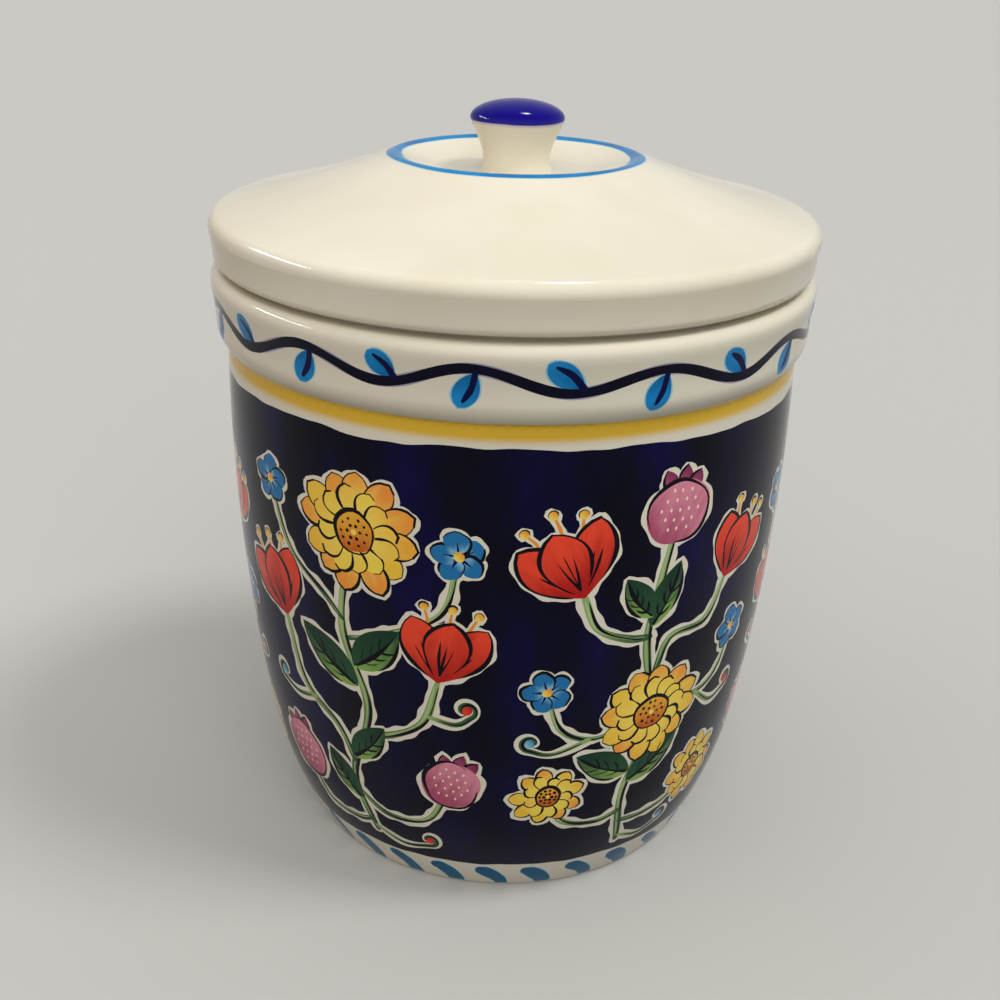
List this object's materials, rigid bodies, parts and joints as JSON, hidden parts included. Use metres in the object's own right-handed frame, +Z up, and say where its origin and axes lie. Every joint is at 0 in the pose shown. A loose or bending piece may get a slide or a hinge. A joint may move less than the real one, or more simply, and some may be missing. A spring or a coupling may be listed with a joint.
{
  "type": "lidded canister",
  "caption": "Round bellied kitchen canister with a rolled collar, a lift-off domed lid with a dished finger well and a waisted knob, and a soft seal under the lid.",
  "frame": {"origin": "centre of the foot ring's underside, on the surface it stands on", "axes": "+Z up along the jar's axis, through the knob; every piece is round about Z, so X and Y are free"},
  "size_m": [0.1726, 0.1726, 0.2197],
  "materials": {
    "jar_glaze": "glossy",
    "seal_rubber": "matte",
    "lid_glaze": "glossy",
    "knob_glaze": "glossy"
  },
  "bodies": {
    "jar": {"jar_body": "jar_glaze"},
    "seal": {"seal_ring": "seal_rubber"},
    "lid": {"lid_shell": "lid_glaze", "lid_knob": "knob_glaze"}
  },
  "joints": [
    {"name": "lid_lift", "type": "slide", "parent": "jar", "child": "seal", "axis": [0, 0, 1], "range_m": [0, 0.16]},
    {"name": "lid_turn", "type": "hinge", "parent": "seal", "child": "lid", "pos_m": [0, 0, 0.177], "axis": [0, 0, 1], "continuous": true}
  ]
}
